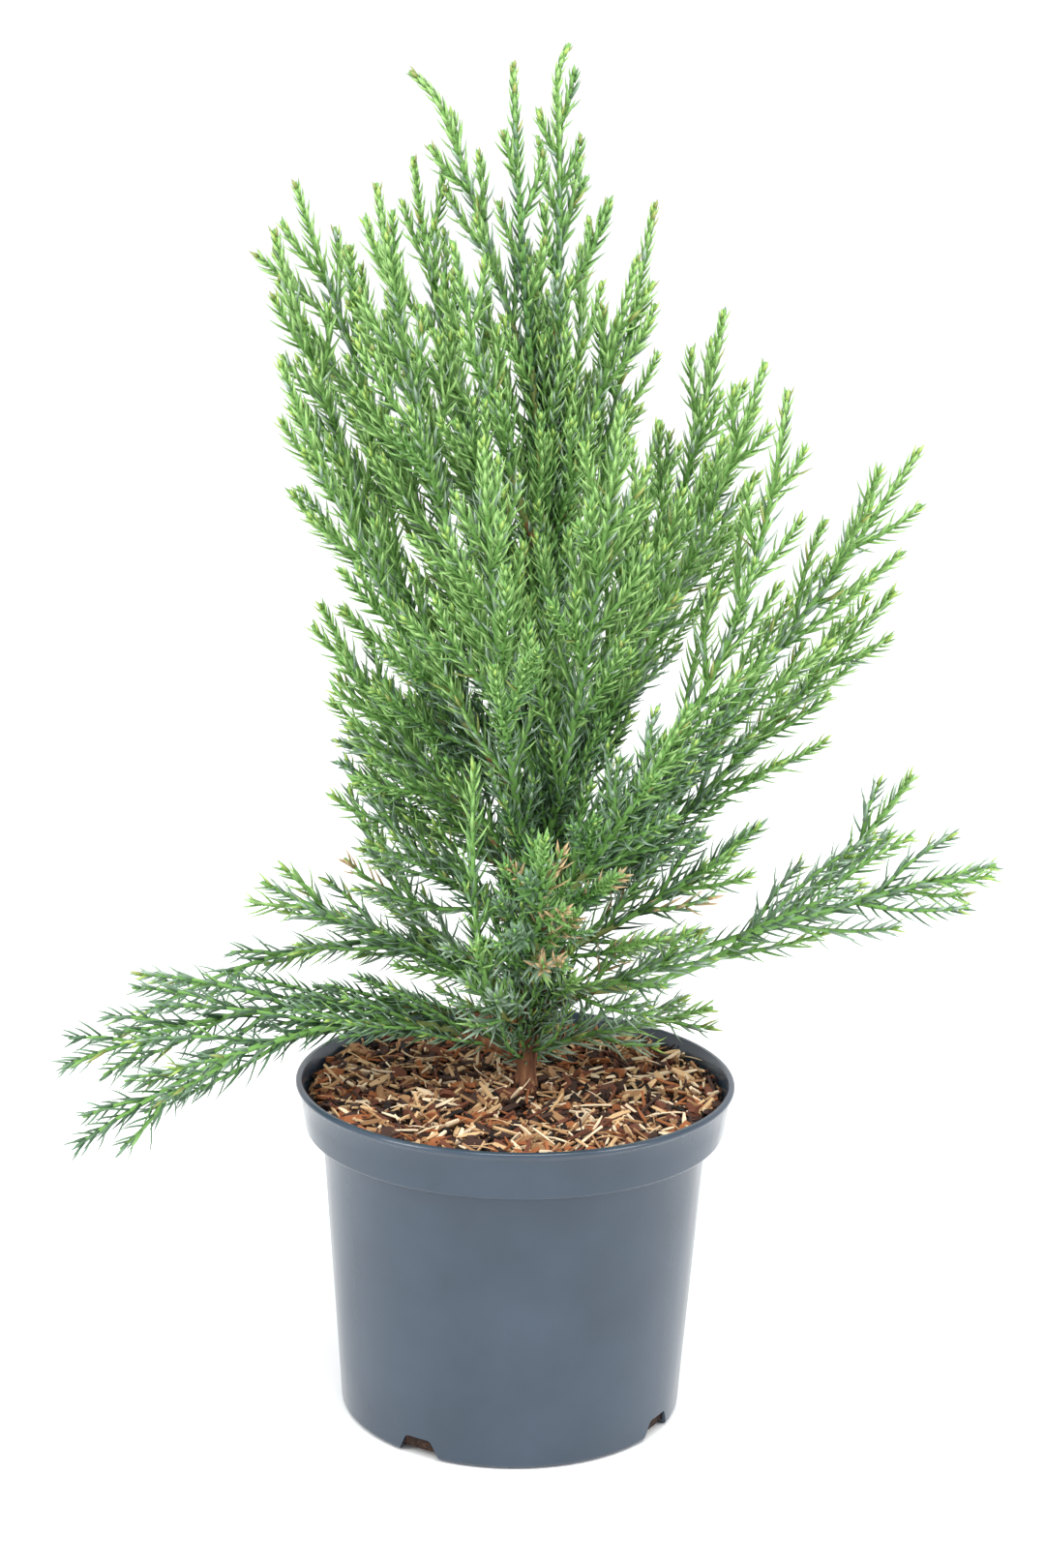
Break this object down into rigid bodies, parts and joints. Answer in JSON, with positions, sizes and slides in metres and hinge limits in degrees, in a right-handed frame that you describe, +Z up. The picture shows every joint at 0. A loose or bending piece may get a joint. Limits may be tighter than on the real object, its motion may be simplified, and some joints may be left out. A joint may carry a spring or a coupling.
{
  "type": "potted cryptomeria",
  "caption": "Young Japanese cedar in a round plastic nursery pot: one slim trunk, rising boughs and open plumes of needles over bark mulch.",
  "frame": {"origin": "centre of the pot's flat underside, on the floor that it stands on", "axes": "+Z up along the pot, +X to the right and -Y towards the front of the plant; the crown reaches furthest along X"},
  "size_m": [0.3668, 0.2295, 0.5386],
  "materials": {
    "pot": "semi-gloss slate grey",
    "soil": "rough chipped bark",
    "bark": "thin flaking bark",
    "foliage": "matt needles, dark green to yellow green"
  },
  "bodies": {
    "root": {"pot": "pot", "soil": "soil", "trunk": "bark", "foliage_leader": "foliage", "foliage_top_middle": "foliage", "foliage_top_left": "foliage", "foliage_top_right": "foliage", "bough_left_crest": "bark", "foliage_left_crest": "foliage", "bough_left_high": "bark", "foliage_left_high": "foliage", "bough_left_outer": "bark", "foliage_left_outer": "foliage", "bough_left_shoulder": "bark", "foliage_left_shoulder": "foliage", "foliage_left_inner": "foliage", "foliage_left_flank": "foliage", "foliage_right_crest": "foliage", "bough_right_high": "bark", "foliage_right_high": "foliage", "bough_right_shoulder": "bark", "foliage_right_shoulder": "foliage", "bough_right_plume": "bark", "foliage_right_plume": "foliage", "bough_right_arm": "bark", "foliage_right_arm": "foliage", "bough_right_lower_arm": "bark", "foliage_right_lower_arm": "foliage", "foliage_left_middle": "foliage", "foliage_left_lower": "foliage", "foliage_left_ledge": "foliage", "foliage_low_left_upright": "foliage", "bough_low_left_spray": "bark", "foliage_low_left_spray": "foliage", "foliage_low_left_trail": "foliage", "bough_low_left_fan": "bark", "foliage_low_left_fan": "foliage", "bough_low_left_droop": "bark", "foliage_low_left_droop": "foliage", "bough_low_right_fan": "bark", "foliage_low_right_fan": "foliage", "bough_low_right_lift": "bark", "foliage_low_right_lift": "foliage", "foliage_right_ledge": "foliage", "foliage_right_skirt": "foliage", "foliage_right_creeper": "foliage", "foliage_front_upright": "foliage", "foliage_front_low": "foliage", "foliage_front_skirt": "foliage", "bough_front_left": "bark", "foliage_front_left": "foliage", "bough_front_right": "bark", "foliage_front_right": "foliage", "bough_back_skirt": "bark", "foliage_back_skirt": "foliage", "foliage_back_low": "foliage", "bough_back_middle": "bark", "foliage_back_middle": "foliage", "foliage_back_high": "foliage", "foliage_back_crest": "foliage"}
  },
  "joints": []
}
